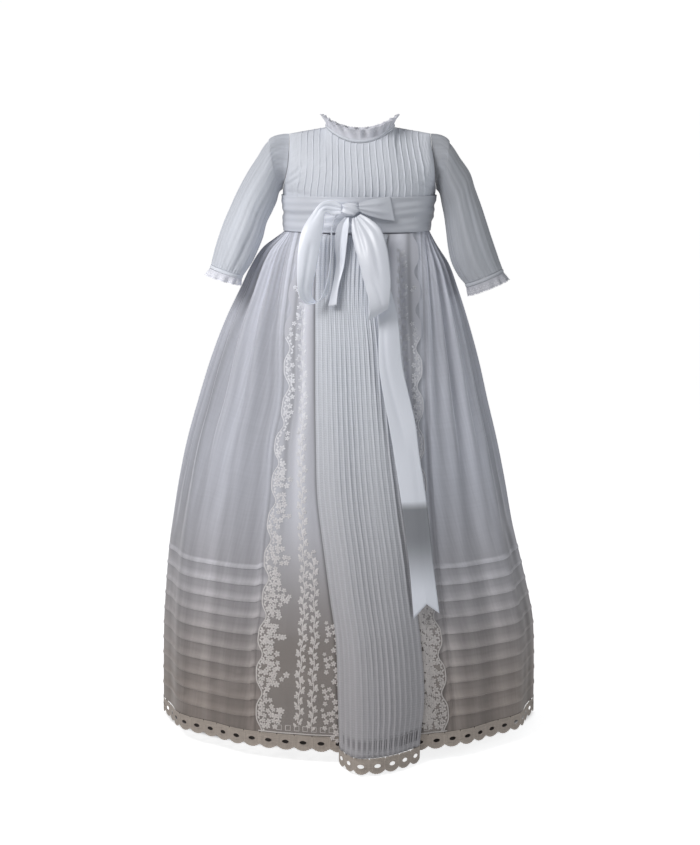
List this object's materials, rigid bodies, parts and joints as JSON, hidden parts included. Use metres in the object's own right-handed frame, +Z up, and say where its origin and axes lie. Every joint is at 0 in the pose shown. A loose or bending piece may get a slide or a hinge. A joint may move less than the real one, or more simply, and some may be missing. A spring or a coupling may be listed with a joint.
{
  "type": "lace christening gown",
  "caption": "Baby's long lace gown in its worn form: hollow tucked bodice, sheer sleeves, satin bow, gathered skirt with tucks, lace panels and a scalloped hem.",
  "frame": {"origin": "centre of the neck at shoulder height, where the wearer carries the gown", "axes": "+Z up along the gown, -Y to its front, +X to the viewer's right"},
  "size_m": [0.5672, 0.5015, 0.913],
  "materials": {
    "cotton": "matte",
    "organza": "sheer satin",
    "lace": "matte",
    "hem_lace": "matte",
    "satin": "satin",
    "lining": "matte",
    "button": "gloss"
  },
  "bodies": {
    "root": {"back_placket": "cotton", "bodice_back_left": "cotton", "bodice_back_right": "cotton", "bodice_front": "cotton", "bow_knot": "satin", "bow_loop_left": "satin", "bow_loop_right": "satin", "bow_tail_long": "satin", "bow_tail_short": "satin", "bow_wing_right": "satin", "button_1": "button", "button_2": "button", "button_3": "button", "button_4": "button", "cuff_band_left": "cotton", "cuff_band_right": "cotton", "cuff_ruffle_left": "lace", "cuff_ruffle_right": "lace", "hem_lace_back_left": "hem_lace", "hem_lace_back_right": "hem_lace", "hem_lace_centre": "hem_lace", "hem_lace_left": "hem_lace", "hem_lace_right": "hem_lace", "lace_panel_left": "lace", "lace_panel_right": "lace", "neck_band": "cotton", "neck_ruffle": "lace", "skirt_back": "organza", "skirt_centre_panel": "cotton", "skirt_side_left": "organza", "skirt_side_right": "organza", "sleeve_left": "organza", "sleeve_right": "organza", "underskirt_back": "lining", "underskirt_front": "lining", "waist_band": "satin"}
  },
  "joints": []
}
